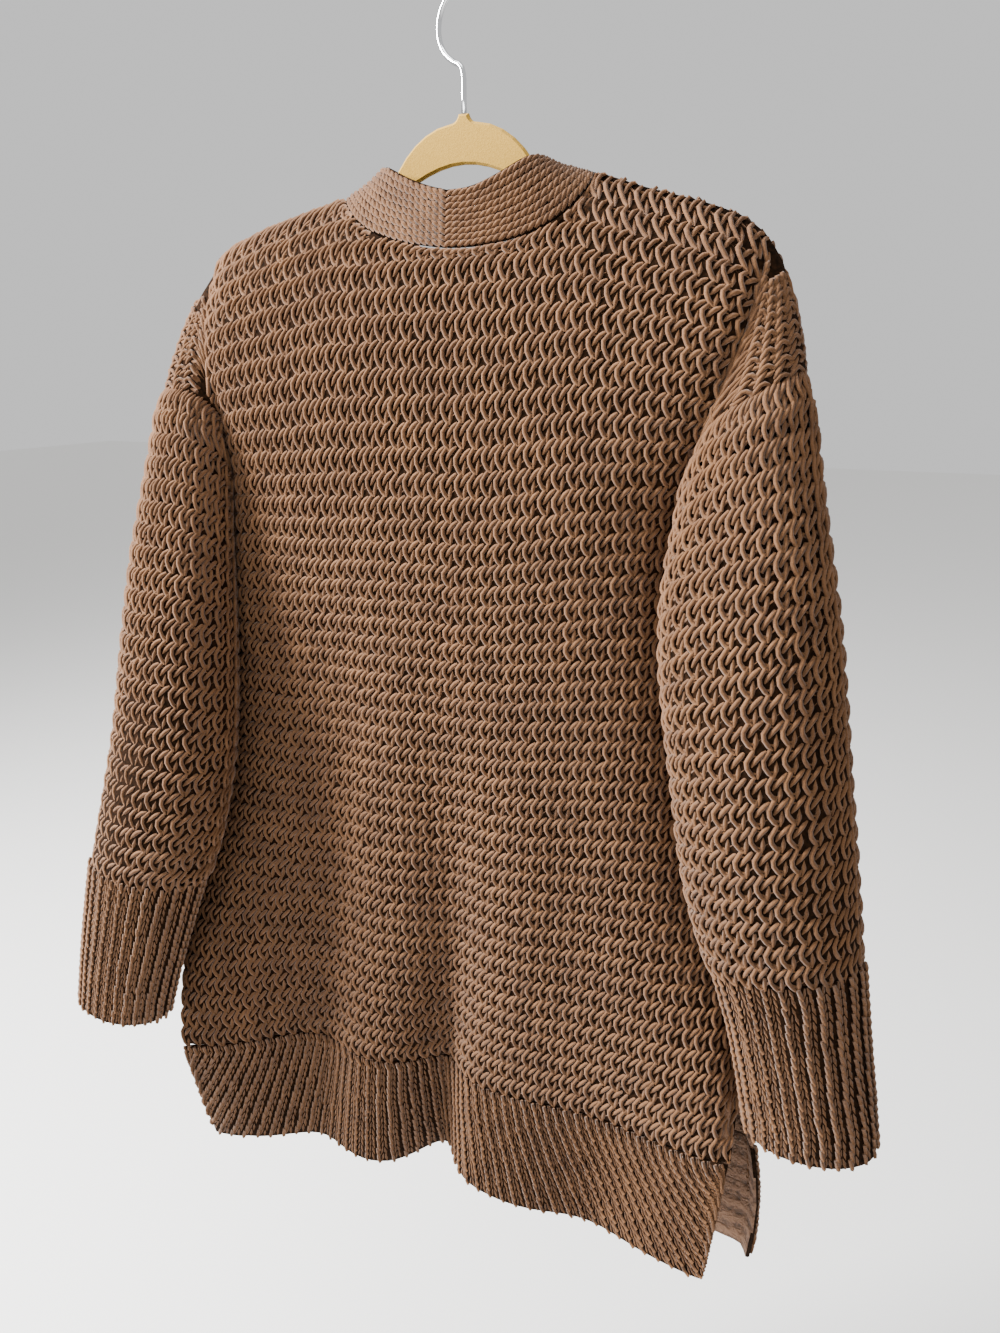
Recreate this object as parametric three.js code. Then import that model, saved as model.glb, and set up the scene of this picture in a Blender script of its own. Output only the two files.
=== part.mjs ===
// Open-front cardigan in a heavy racked-rib knit, hung on a slim hanger.
// Millimetres, +Z up. The origin is the inner top of the hook, where a rod carries it.
// +X is the wearer's left, the front faces -Y and the back faces +Y.
import * as THREE from 'three';
import { mergeVertices } from 'three/addons/utils/BufferGeometryUtils.js';

// ---- driving dimensions ----
const CLOTH = 3.6;          // thickness of the knit
const SEAM = 0.3;           // gap kept between two pieces sewn together
const RIB_TOP = -830;       // where the body knit ends and the hem rib begins
const HEM = -942;           // lower edge of the hem rib, on average
const NECK_HALF = 97;       // from the centre back to the band's outer edge on the shoulder
const BAND_GAP = 0.9;       // gap kept between the panels and the band
const DRAPE = 60;           // drop over which the cloth swings out from the shoulder line
const ARM_TOP = -190;       // where the dropped shoulder starts to round over the arm
const UNDERARM = -312;      // where the back, the front and the sleeve meet
const ARM_CLEAR = 5.4;      // how far the trunk keeps from the middle of the sleeve's cloth
const SHOULDER_END = 220;   // how far out the level part of the shoulder line reaches

const GARMENT = { color: 0x9c7a5f, roughness: 0.95, metalness: 0 };
const VELVET = { color: 0xdcc583, roughness: 0.9, metalness: 0 };
const CHROME = { color: 0xd9dadb, roughness: 0.16, metalness: 1 };

// ---- small helpers ----
const lerp = (a, b, t) => a + (b - a) * t;
const clamp01 = (t) => Math.min(1, Math.max(0, t));
const ease = (from, to, value) => {
  const t = clamp01((value - from) / (to - from));
  return t * t * (3 - 2 * t);
};

// A smooth function through one column of a table. The rows run up or down in `input`.
function through(rows, input, output) {
  const sorted = [...rows].sort((a, b) => a[input] - b[input]);
  const slope = (i) => {
    const a = sorted[Math.max(0, i - 1)];
    const b = sorted[Math.min(sorted.length - 1, i + 1)];
    return (b[output] - a[output]) / (b[input] - a[input]);
  };
  return (value) => {
    const last = sorted.length - 1;
    if (value <= sorted[0][input]) return sorted[0][output];
    if (value >= sorted[last][input]) return sorted[last][output];
    let i = 0;
    while (sorted[i + 1][input] < value) i += 1;
    const width = sorted[i + 1][input] - sorted[i][input];
    const t = (value - sorted[i][input]) / width;
    const h00 = (1 + 2 * t) * (1 - t) ** 2;
    const h10 = t * (1 - t) ** 2;
    const h01 = t * t * (3 - 2 * t);
    const h11 = t * t * (t - 1);
    return h00 * sorted[i][output] + h10 * width * slope(i)
      + h01 * sorted[i + 1][output] + h11 * width * slope(i + 1);
  };
}

// ---- the garment's shape, as tables of sections ----
// The line that the cloth follows over the hanger, from one tip to the other.
const SHOULDER = [
  { x: -220, z: -182 }, { x: -209, z: -166 }, { x: -195, z: -155 }, { x: -166, z: -144 },
  { x: -133, z: -135 }, { x: -97, z: -123 }, { x: -60, z: -114 }, { x: 0, z: -108 },
  { x: 60, z: -114 }, { x: 97, z: -128.5 }, { x: 147, z: -140.5 }, { x: 173, z: -148 },
  { x: 194, z: -155 }, { x: 209, z: -162.5 }, { x: 221, z: -179 },
];
// The back neck, where the band is sewn on.
const NECK = [
  { x: -97, z: -123 }, { x: -95, z: -132 }, { x: -90, z: -141 }, { x: -80, z: -151.5 },
  { x: -65, z: -159 }, { x: -45, z: -165 }, { x: -20, z: -168 }, { x: 0, z: -168 },
  { x: 20, z: -165.5 }, { x: 45, z: -160 }, { x: 62, z: -154 }, { x: 75, z: -146.5 },
  { x: 88, z: -135.5 }, { x: 97, z: -128.5 },
];
// The arm on each side: the middle of the tube, its half width and its half depth.
const ARM = {
  right: [
    { z: -184, x: 210.5, y: 0, width: 10, depth: 7.5 }, { z: -200, x: 212.5, y: 3, width: 14, depth: 10.5 },
    { z: -220, x: 214, y: 5, width: 19.5, depth: 14.5 }, { z: -245, x: 214.5, y: 8, width: 25, depth: 18.5 },
    { z: -270, x: 215, y: 12, width: 32, depth: 23.5 }, { z: -310, x: 215.5, y: 20, width: 40, depth: 29.5 },
    { z: -355, x: 217.5, y: 30, width: 49.5, depth: 35.5 }, { z: -400, x: 221.5, y: 40, width: 57.5, depth: 39.5 },
    { z: -450, x: 228, y: 45, width: 60, depth: 41.5 }, { z: -500, x: 236.5, y: 47, width: 59.5, depth: 42.5 },
    { z: -550, x: 245, y: 48, width: 59.5, depth: 41.5 }, { z: -600, x: 253.5, y: 48, width: 59, depth: 40.5 },
    { z: -640, x: 263.5, y: 48, width: 54.5, depth: 38.5 }, { z: -670, x: 272, y: 48, width: 50, depth: 34.5 },
    { z: -710, x: 282, y: 48, width: 47, depth: 31.5 }, { z: -760, x: 291.5, y: 48, width: 46.5, depth: 30.5 },
    { z: -830, x: 303, y: 49, width: 43.5, depth: 29.5 },
  ],
  left: [
    { z: -184, x: 214, y: 1, width: 12, depth: 6.5 }, { z: -210, x: 222, y: 7, width: 18, depth: 12 },
    { z: -235, x: 228, y: 13, width: 22, depth: 15.5 }, { z: -265, x: 232, y: 19, width: 26, depth: 20.5 },
    { z: -310, x: 234, y: 29, width: 31.5, depth: 26.5 }, { z: -355, x: 236, y: 39, width: 37.5, depth: 31.5 },
    { z: -400, x: 237.5, y: 49, width: 43, depth: 35.5 }, { z: -450, x: 236.5, y: 60, width: 48, depth: 38.5 },
    { z: -500, x: 237, y: 69, width: 52.5, depth: 39.5 }, { z: -550, x: 240.5, y: 77, width: 55.5, depth: 40.5 },
    { z: -600, x: 248.5, y: 86, width: 58, depth: 40.5 }, { z: -640, x: 257, y: 93, width: 57.5, depth: 38.5 },
    { z: -670, x: 266.5, y: 98, width: 54.5, depth: 34.5 }, { z: -710, x: 275, y: 104, width: 51.5, depth: 31.5 },
    { z: -760, x: 287, y: 110, width: 47, depth: 28.5 }, { z: -840, x: 302, y: 117, width: 41.5, depth: 26.5 },
  ],
};
// How far round the arm the body knit reaches from the outside, in degrees, on each face.
const WRAP = {
  right: [
    { z: -190, back: 105, front: 105 }, { z: -206, back: 120, front: 120 }, { z: -226, back: 133, front: 133 },
    { z: -250, back: 146, front: 146 }, { z: -282, back: 163, front: 163 }, { z: -312, back: 180, front: 180 },
  ],
  left: [
    { z: -190, back: 105, front: 105 }, { z: -206, back: 120, front: 116 }, { z: -226, back: 135, front: 126 },
    { z: -250, back: 152, front: 134 }, { z: -282, back: 184, front: 136 }, { z: -312, back: 222, front: 138 },
  ],
};
// The armhole seam, from the outside (0) round the back (90) to the underarm (180).
const ARMHOLE = [
  { angle: 0, right: -250, left: -266 }, { angle: 50, right: -254, left: -265 },
  { angle: 90, right: -265, left: -266 }, { angle: 115, right: -272, left: -273 },
  { angle: 150, right: -286, left: -287 }, { angle: 180, right: -312, left: -312 },
];
// The side of the trunk below the underarm: how far out it hangs and how far back.
const SIDE = {
  right: [
    { z: -312, x: 175, y: 21 }, { z: -326, x: 168, y: 12 }, { z: -345, x: 163, y: 6 },
    { z: -375, x: 159, y: 4 }, { z: -415, x: 158, y: 4 }, { z: -465, x: 164, y: 4 },
    { z: -515, x: 173, y: 4 }, { z: -565, x: 181, y: 4 }, { z: -615, x: 191, y: 4 },
    { z: -665, x: 209, y: 5 }, { z: -715, x: 227, y: 9 }, { z: -770, x: 238, y: 20 },
    { z: -800, x: 241, y: 30 }, { z: -830, x: 242, y: 41 },
  ],
  left: [
    { z: -312, x: 210.6, y: 11.3 }, { z: -326, x: 221, y: -2 }, { z: -345, x: 229, y: -7 },
    { z: -375, x: 235, y: -8 }, { z: -415, x: 239, y: -6 }, { z: -465, x: 240, y: -3 },
    { z: -515, x: 240, y: 3 }, { z: -565, x: 240, y: 12 }, { z: -615, x: 242, y: 24 },
    { z: -665, x: 245, y: 42 }, { z: -715, x: 249, y: 62 }, { z: -770, x: 249, y: 84 },
    { z: -800, x: 246, y: 94 }, { z: -830, x: 238, y: 101 },
  ],
};
// The two edges of the side slits: where they part from each other, and their ends at the hem.
const SLIT_TOP = -800;
const SLIT = {
  right: {
    back: [{ z: -800, out: 0, y: 0 }, { z: -830, out: -2, y: 10 }, { z: -942, out: -14, y: 17 }],
    front: [{ z: -800, out: 0, y: 0 }, { z: -830, out: 12, y: -12 }, { z: -860, out: 22, y: -15 },
      { z: -942, out: 15, y: -17 }],
  },
  left: {
    back: [{ z: -800, out: 0, y: 0 }, { z: -830, out: -1, y: 4 }, { z: -942, out: -6, y: -20 }],
    front: [{ z: -800, out: 0, y: 0 }, { z: -830, out: 3, y: -16 }, { z: -942, out: 2, y: -52 }],
  },
};
// The lower edge of the hem rib, which sags a little between the folds.
const HEM_LINE = [
  { x: -255, z: -943 }, { x: -190, z: -943 }, { x: -110, z: -947 }, { x: -55, z: -945 },
  { x: -15, z: -939 }, { x: 24, z: -939 }, { x: 70, z: -943 }, { x: 160, z: -946 }, { x: 236, z: -942 },
];
// Folds of the back: where the middle runs, how deep it is (troughs are negative), how wide.
const BACK_FOLDS = [
  { width: 23, rows: [{ z: -412, x: 7, out: 0 }, { z: -532, x: 5, out: -4 }, { z: -617, x: 0, out: -9 },
    { z: -730, x: 0, out: -17 }, { z: -830, x: 14, out: -29 }, { z: -942, x: 24, out: -45 }] },
  { width: 26, rows: [{ z: -300, x: 96, out: 0 }, { z: -420, x: 99, out: -4 }, { z: -594, x: 109, out: -8 },
    { z: -830, x: 128, out: -10 }, { z: -942, x: 140, out: -10 }] },
  { width: 28, rows: [{ z: -420, x: 56, out: 0 }, { z: -650, x: 62, out: 4 }, { z: -830, x: 82, out: 7 },
    { z: -942, x: 84, out: 6 }] },
  { width: 40, rows: [{ z: -450, x: -95, out: 0 }, { z: -700, x: -110, out: -4 }, { z: -830, x: -125, out: -5 },
    { z: -942, x: -118, out: -14 }] },
];
// Folds of the fronts.
const FRONT_FOLDS = [
  { width: 22, rows: [{ z: -300, x: 118, out: 0 }, { z: -520, x: 122, out: 7 }, { z: -830, x: 132, out: 15 },
    { z: -942, x: 138, out: 19 }] },
  { width: 24, rows: [{ z: -420, x: 170, out: 0 }, { z: -700, x: 176, out: -8 }, { z: -942, x: 184, out: -12 }] },
  { width: 24, rows: [{ z: -280, x: -112, out: 0 }, { z: -560, x: -116, out: 9 }, { z: -830, x: -126, out: 17 },
    { z: -942, x: -134, out: 20 }] },
  { width: 22, rows: [{ z: -460, x: -158, out: 0 }, { z: -720, x: -172, out: -7 }, { z: -942, x: -182, out: -10 }] },
];
// The front edge: the band's seam and its free edge, measured from the middle.
const FRONT_EDGE = {
  right: [
    { z: -121, seam: 97, free: 61 }, { z: -150, seam: 94, free: 56 }, { z: -200, seam: 87, free: 46 },
    { z: -300, seam: 78, free: 36 }, { z: -450, seam: 75, free: 32 }, { z: -620, seam: 78, free: 35 },
    { z: -780, seam: 74, free: 31 }, { z: -942, seam: 71, free: 28 },
  ],
  left: [
    { z: -131, seam: 97, free: 61 }, { z: -158, seam: 93, free: 54 }, { z: -205, seam: 85, free: 44 },
    { z: -300, seam: 76, free: 34 }, { z: -450, seam: 71, free: 28 }, { z: -620, seam: 69, free: 26 },
    { z: -780, seam: 73, free: 30 }, { z: -942, seam: 75, free: 32 },
  ],
};

// ---- the surface that every piece of the body lies on ----
const SIDES = { right: -1, left: 1 };
const shoulderZ = through(SHOULDER, 'x', 'z');
const neckZ = through(NECK, 'x', 'z');
const hemZ = through(HEM_LINE, 'x', 'z');
const column = (table, name) => ({
  right: through(table.right, 'z', name),
  left: through(table.left, 'z', name),
});
const wrapAngle = { back: column(WRAP, 'back'), front: column(WRAP, 'front') };
const slitEdge = (name) => ({
  back: { right: through(SLIT.right.back, 'z', name), left: through(SLIT.left.back, 'z', name) },
  front: { right: through(SLIT.right.front, 'z', name), left: through(SLIT.left.front, 'z', name) },
});
const slit = { out: slitEdge('out'), y: slitEdge('y') };
const faceName = (face) => (face > 0 ? 'back' : 'front');
const arm = { x: column(ARM, 'x'), y: column(ARM, 'y'), width: column(ARM, 'width'), depth: column(ARM, 'depth') };
const sideLine = { x: column(SIDE, 'x'), y: column(SIDE, 'y') };
const frontEdge = { seam: column(FRONT_EDGE, 'seam'), free: column(FRONT_EDGE, 'free') };
const armhole = { right: through(ARMHOLE, 'angle', 'right'), left: through(ARMHOLE, 'angle', 'left') };
const foldTracks = (folds) => folds.map(({ width, rows }) => (
  { width, x: through(rows, 'z', 'x'), out: through(rows, 'z', 'out') }));
const backFolds = foldTracks(BACK_FOLDS);
const frontFolds = foldTracks(FRONT_FOLDS);
const foldDepth = (folds, x, z) => folds.reduce(
  (sum, fold) => sum + fold.out(z) * Math.exp(-(((x - fold.x(z)) / fold.width) ** 2)), 0);

// A point on the tube of an arm. The angle is 0 outside, 90 at the back and 180 inside.
function armPoint(side, angle, z) {
  const a = THREE.MathUtils.degToRad(angle);
  const x = arm.x[side](z) + arm.width[side](z) * Math.cos(a);
  const y = arm.y[side](z) + arm.depth[side](z) * Math.sin(a);
  return new THREE.Vector3(SIDES[side] * x, y, z);
}

// The direction straight out of the tube of an arm.
function armNormal(side, angle, z) {
  const a = THREE.MathUtils.degToRad(angle);
  const x = Math.cos(a) / arm.width[side](z);
  const y = Math.sin(a) / arm.depth[side](z);
  return new THREE.Vector3(SIDES[side] * x, y, 0).normalize();
}

// Where the trunk's surface ends at a height: on the arm above the underarm, at the side seam
// or the slit below it. `face` is +1 for the back and -1 for the front.
function trunkEnd(side, face, z) {
  if (z >= UNDERARM) {
    const height = Math.min(z, ARM_TOP);
    const point = armPoint(side, face * wrapAngle[faceName(face)][side](height), height);
    return { x: Math.abs(point.x), y: point.y * ease(-150, ARM_TOP, z) };
  }
  const seamZ = Math.max(z, RIB_TOP);
  const end = { x: sideLine.x[side](seamZ), y: sideLine.y[side](seamZ) };
  if (z < SLIT_TOP) {
    end.x += slit.out[faceName(face)][side](z);
    end.y += slit.y[faceName(face)][side](z);
  }
  return end;
}

// How far out the middle of the cloth stands, before it is drawn in to the trunk's end.
function backReach(x, z) {
  const base = lerp(42, 48, ease(-300, -830, z));
  const corner = x > 0 ? lerp(0, 50, ease(-560, -830, z)) * lerp(1, 0.64, ease(RIB_TOP, HEM, z))
    : lerp(0, 10, ease(-700, HEM, z));
  return base + corner * ease(140, 232, Math.abs(x)) + foldDepth(backFolds, x, z);
}
function frontReach(x, z) {
  const side = x > 0 ? 'left' : 'right';
  const base = lerp(-40, -50, ease(-300, -700, z));
  const drawnBack = ease(-560, -800, z) * ease(120, 225, Math.abs(x));
  const end = trunkEnd(side, -1, z);
  return lerp(base, end.y - 18, drawnBack) + foldDepth(frontFolds, x, z) * (1 - 0.6 * drawnBack);
}

// Depth of the cloth's middle surface at a place seen from the front or the back.
function bodyDepth(face, x, z) {
  const side = x > 0 ? 'left' : 'right';
  const end = trunkEnd(side, face, z);
  const drop = Math.max(0, shoulderZ(x) - z);
  const swing = (1 - Math.exp(-drop / DRAPE)) ** 0.7;
  const reach = (face > 0 ? backReach(x, z) : frontReach(x, z)) * swing;
  const endY = end.y * (z > UNDERARM ? Math.min(1, swing * 3) : 1);
  const across = Math.min(1, Math.abs(x) / end.x);
  const round = face > 0 ? 2.5 : lerp(1.7, 2.4, ease(UNDERARM, -500, z));
  const sharp = z > UNDERARM ? lerp(5, round, ease(-200, UNDERARM, z)) : lerp(round, 8, ease(-720, RIB_TOP, z));
  return endY + (reach - endY) * (1 - across ** sharp) ** (1 / sharp);
}

// ---- building a piece of cloth from a grid of points ----
// Points of a fine line, spaced evenly along it, with a little left off at each end.
function evenly(line, count, trimStart = 0, trimEnd = 0) {
  const reach = [0];
  for (let i = 1; i < line.length; i += 1) reach.push(reach[i - 1] + line[i].distanceTo(line[i - 1]));
  const total = reach[reach.length - 1];
  const points = [];
  let i = 1;
  for (let k = 0; k <= count; k += 1) {
    const want = lerp(trimStart, total - trimEnd, k / count);
    while (i < line.length - 1 && reach[i] < want) i += 1;
    points.push(line[i - 1].clone().lerp(line[i], (want - reach[i - 1]) / (reach[i] - reach[i - 1])));
  }
  return points;
}

// A closed sheet of even thickness on a grid of points, rows of columns, with no cell where a
// point is missing. `loose` names the axes along which the rim's walls must not lean, and
// `normalAt` gives the outward direction where two pieces must share it.
function sheet(grid, { outward, wrap = false, loose = () => '', normalAt = () => null }) {
  const rows = grid.length;
  const columns = grid[0].length;
  const at = (r, c) => grid[r][wrap ? (c + columns) % columns : c];
  const cells = [];
  for (let r = 0; r + 1 < rows; r += 1) {
    for (let c = 0; c + (wrap ? 0 : 1) < columns; c += 1) {
      const ring = [[r, c], [r, c + 1], [r + 1, c + 1], [r + 1, c]];
      if (ring.every(([i, j]) => at(i, j))) cells.push(ring.map(([i, j]) => [i, wrap ? j % columns : j]));
    }
  }
  const key = ([r, c]) => r * columns + c;
  const normals = new Map();
  cells.forEach((ring) => {
    const [a, b, c, d] = ring.map(([r, k]) => grid[r][k]);
    const normal = new THREE.Vector3().crossVectors(
      new THREE.Vector3().subVectors(c, a), new THREE.Vector3().subVectors(d, b)).normalize();
    ring.forEach((corner) => {
      if (!normals.has(key(corner))) normals.set(key(corner), new THREE.Vector3());
      normals.get(key(corner)).add(normal);
    });
  });
  const index = new Map();
  const positions = [];
  normals.forEach((normal, id) => {
    const r = Math.floor(id / columns);
    const c = id % columns;
    [...loose(r, c)].forEach((axis) => { normal[axis] = 0; });
    normal.normalize().multiplyScalar(outward);
    normal.copy(normalAt(r, c) ?? normal);
    index.set(id, positions.length / 3);
    [0.5, -0.5].forEach((half) => {
      const p = grid[r][c].clone().addScaledVector(normal, half * CLOTH);
      positions.push(p.x, p.y, p.z);
    });
  });
  const outer = (corner) => index.get(key(corner));
  const inner = (corner) => index.get(key(corner)) + 1;
  const faces = [];
  const face = (a, b, c, d) => faces.push(a, b, c, a, c, d);
  const edges = new Map();
  cells.forEach((ring) => {
    const turn = outward > 0 ? ring : [...ring].reverse();
    face(...turn.map(outer));
    face(...[...turn].reverse().map(inner));
    turn.forEach((from, i) => {
      const to = turn[(i + 1) % 4];
      const back = `${key(to)}>${key(from)}`;
      if (edges.has(back)) edges.delete(back);
      else edges.set(`${key(from)}>${key(to)}`, [from, to]);
    });
  });
  edges.forEach(([from, to]) => face(outer(to), outer(from), inner(from), inner(to)));
  const geometry = new THREE.BufferGeometry();
  geometry.setAttribute('position', new THREE.Float32BufferAttribute(positions, 3));
  geometry.setIndex(faces);
  return geometry;
}

const cardigan = new THREE.Group();
function add(name, geometry, look) {
  const mesh = new THREE.Mesh(geometry, new THREE.MeshStandardMaterial(look));
  mesh.name = name;
  cardigan.add(mesh);
  return mesh;
}

// ---- back and fronts ----
const ARM_ROWS = 6;         // rows of cells from the arm's start down to the underarm
const CAP_COLUMNS = 8;      // columns of cells round each face of the dropped shoulder
const NECK_COLUMNS = 7;     // columns of cells along half of the back neck
const HALF_COLUMNS = 17;    // columns of cells across half of the back
const FRONT_COLUMNS = 12;
const RIB_ROWS = 2;
// Heights of the rows at the side, from the shoulder to the underarm and on to the hem rib.
const sideZ = [-178];
for (let k = 0; k <= ARM_ROWS; k += 1) sideZ.push(lerp(ARM_TOP, UNDERARM, k / ARM_ROWS));
const UNDERARM_ROW = sideZ.length - 1;
sideZ.push(-326, -345, -375, -415, -465, -515, -565, -615, -665, -715, -770, RIB_TOP + SEAM / 2);
const LAST_ROW = sideZ.length - 1;

// The height of a row at a place, between the top edge and the hem rib. The rows follow the
// shoulder at the top and are level from the underarm down.
function rowZ(row, top) {
  const t = (sideZ[row] - sideZ[0]) / (sideZ[LAST_ROW] - sideZ[0]);
  return lerp(lerp(top, sideZ[0], ease(0, 0.25, t)), sideZ[LAST_ROW], t);
}
const FINE = 160;           // steps used to measure a row before it is divided evenly

// One row of the trunk from one place across to another, as a fine line.
function trunkLine(face, heightAt, xFrom, xTo) {
  const line = [];
  for (let i = 0; i <= FINE; i += 1) {
    const x = xFrom + (xTo - xFrom) * (1 - Math.cos((Math.PI * i) / FINE)) / 2;
    const z = heightAt(x);
    const point = new THREE.Vector3(x, bodyDepth(face, x, z), z);
    const sewn = z >= UNDERARM - 0.5 && (Math.abs(x) >= Math.abs(xTo) - 0.01 || Math.abs(x) >= Math.abs(xFrom) - 0.01);
    if (!sewn || Math.abs(x) < NECK_HALF) clearOfArm(point);
    line.push(point);
  }
  return line;
}
// Keeps a point of the trunk outside the sleeve where the two hang side by side.
function clearOfArm(point) {
  const side = point.x > 0 ? 'left' : 'right';
  const clear = ARM_CLEAR * ease(-268, -300, point.z);
  if (clear === 0 || point.z < RIB_TOP) return;
  const width = arm.width[side](point.z) + clear;
  const depth = arm.depth[side](point.z) + clear;
  const across = (Math.abs(point.x) - arm.x[side](point.z)) / width;
  const back = (point.y - arm.y[side](point.z)) / depth;
  const reach = Math.hypot(across, back);
  if (reach >= 1) return;
  point.x = SIDES[side] * (arm.x[side](point.z) + (across / reach) * width);
  point.y = arm.y[side](point.z) + (back / reach) * depth;
}
// The angles round an arm, from the outside to the underarm, where the grid has its columns.
const capAngles = (side, face, z) => {
  const wrap = wrapAngle[faceName(face)][side](z);
  return Array.from({ length: CAP_COLUMNS }, (_, i) => (wrap * i) / CAP_COLUMNS);
};
// One row of the dropped shoulder on one side, from the outer edge round to the trunk.
function capRow(side, face, row) {
  if (row > UNDERARM_ROW) return Array(CAP_COLUMNS).fill(null);
  const down = Math.max(0, (row - 1) / ARM_ROWS);
  return capAngles(side, face, sideZ[row]).map((angle, i) => {
    const share = i / CAP_COLUMNS;
    if (row === 0) {
      const x = SIDES[side] * lerp(SHOULDER_END, trunkEnd(side, face, sideZ[0]).x, share);
      return new THREE.Vector3(x, face * SEAM / 2, shoulderZ(x));
    }
    const z = lerp(ARM_TOP, armhole[side](share * 180), down) + (row === UNDERARM_ROW ? SEAM / 2 : 0);
    const point = armPoint(side, face * angle, z);
    if (i === 0) point.y += face * SEAM / 2;
    return point;
  });
}
const backTop = (x) => (Math.abs(x) < NECK_HALF ? neckZ(x) : shoulderZ(x));
const seamTrim = (row) => (row >= UNDERARM_ROW ? SEAM / 2 : 0);

// Half a row of the back, from the centre out to one side.
function backHalf(side, row) {
  const sign = SIDES[side];
  const end = sign * trunkEnd(side, 1, sideZ[row]).x;
  const heightAt = (x) => rowZ(row, backTop(x));
  if (row > 0) return evenly(trunkLine(1, heightAt, 0, end), HALF_COLUMNS, 0, seamTrim(row));
  const neck = evenly(trunkLine(1, neckZ, 0, sign * NECK_HALF), NECK_COLUMNS);
  const top = [];
  for (let i = 1; i <= HALF_COLUMNS - NECK_COLUMNS; i += 1) {
    const x = lerp(sign * NECK_HALF, end, i / (HALF_COLUMNS - NECK_COLUMNS));
    top.push(new THREE.Vector3(x, SEAM / 2, shoulderZ(x)));
  }
  neck[NECK_COLUMNS].y = SEAM / 2;
  return [...neck, ...top];
}
const backGrid = sideZ.map((_, row) => [
  ...capRow('right', 1, row), ...backHalf('right', row).reverse(),
  ...backHalf('left', row).slice(1), ...capRow('left', 1, row).reverse(),
]);

// Rim walls: level with the shoulder line and the side seams, upright at the hem and armhole.
function panelRim(row, fromOuter) {
  let axes = '';
  const capped = row <= UNDERARM_ROW;
  if (row === 0) axes += 'y';
  else if ((capped && fromOuter === 0) || (!capped && fromOuter === CAP_COLUMNS)) axes += 'yz';
  if (row === LAST_ROW || (row === UNDERARM_ROW && fromOuter <= CAP_COLUMNS)) axes += 'z';
  return axes;
}
// The wall along the armhole stands straight out of the arm, as the sleeve's own edge does, and
// the one along the side seam stands straight out to the side.
function armholeNormal(side, face, row, fromOuter) {
  if (row >= UNDERARM_ROW && fromOuter === CAP_COLUMNS) return new THREE.Vector3(SIDES[side], 0, 0);
  if (row !== UNDERARM_ROW || fromOuter > CAP_COLUMNS) return null;
  const angle = capAngles(side, face, UNDERARM)[fromOuter];
  return armNormal(side, face * angle, armhole[side]((180 * fromOuter) / CAP_COLUMNS));
}
const centre = CAP_COLUMNS + HALF_COLUMNS;
add('back', sheet(backGrid, {
  outward: 1,
  loose: (row, c) => {
    const neck = row === 0 && Math.abs(c - centre) < NECK_COLUMNS;
    return neck ? 'x' : panelRim(row, centre - Math.abs(c - centre));
  },
  normalAt: (row, c) => armholeNormal(c < centre ? 'right' : 'left', 1, row, centre - Math.abs(c - centre)),
}), GARMENT);

function frontGrid(side) {
  const sign = SIDES[side];
  return sideZ.map((z, row) => {
    const edge = sign * frontEdge.seam[side](rowZ(row, shoulderZ(sign * NECK_HALF)));
    const end = sign * trunkEnd(side, -1, z).x;
    const trunk = evenly(trunkLine(-1, (x) => rowZ(row, shoulderZ(x)), end, edge), FRONT_COLUMNS, seamTrim(row));
    if (row === 0) trunk.forEach((p) => { p.y = -SEAM / 2; });
    return [...capRow(side, -1, row), ...trunk];
  });
}
const frontGrids = { right: frontGrid('right'), left: frontGrid('left') };
const frontRim = (row, c) => (c === CAP_COLUMNS + FRONT_COLUMNS && row > 0 ? 'x' : panelRim(row, c));
Object.entries(SIDES).forEach(([side, sign]) => {
  const normalAt = (row, c) => armholeNormal(side, -1, row, c);
  add(`front_${side}`, sheet(frontGrids[side], { outward: sign, loose: frontRim, normalAt }), GARMENT);
});

// ---- hem ribs, open at the side slits ----
const ribZ = (row, x) => lerp(RIB_TOP - SEAM / 2, hemZ(x), row / RIB_ROWS);
const ribRows = Array.from({ length: RIB_ROWS + 1 }, (_, row) => row);
const ribHalf = (side, row) => evenly(
  trunkLine(1, (x) => ribZ(row, x), 0, SIDES[side] * trunkEnd(side, 1, ribZ(row, SIDES[side] * 230)).x),
  HALF_COLUMNS, 0, SEAM / 2);
add('back_hem_rib', sheet(
  ribRows.map((row) => [...ribHalf('right', row).reverse(), ...ribHalf('left', row).slice(1)]),
  { outward: 1, loose: (row) => (row === 0 ? 'z' : '') }), GARMENT);
const frontRibs = {};
Object.entries(SIDES).forEach(([side, sign]) => {
  frontRibs[side] = ribRows.map((row) => {
    const z = ribZ(row, sign * 230);
    const heightAt = (x) => ribZ(row, x);
    const line = trunkLine(-1, heightAt, sign * trunkEnd(side, -1, z).x, sign * frontEdge.seam[side](z));
    return evenly(line, FRONT_COLUMNS, SEAM / 2);
  });
  add(`front_${side}_hem_rib`, sheet(frontRibs[side], {
    outward: sign,
    loose: (row, c) => (row === 0 ? 'z' : '') + (c === FRONT_COLUMNS ? 'x' : ''),
  }), GARMENT);
});

// ---- sleeves and cuffs ----
const SLEEVE_ROWS = 10;
const UNDERARM_DROP = 4;    // how far below the seam's corner the sleeve starts at the underarm
const CUFF_ROWS = 3;
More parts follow.
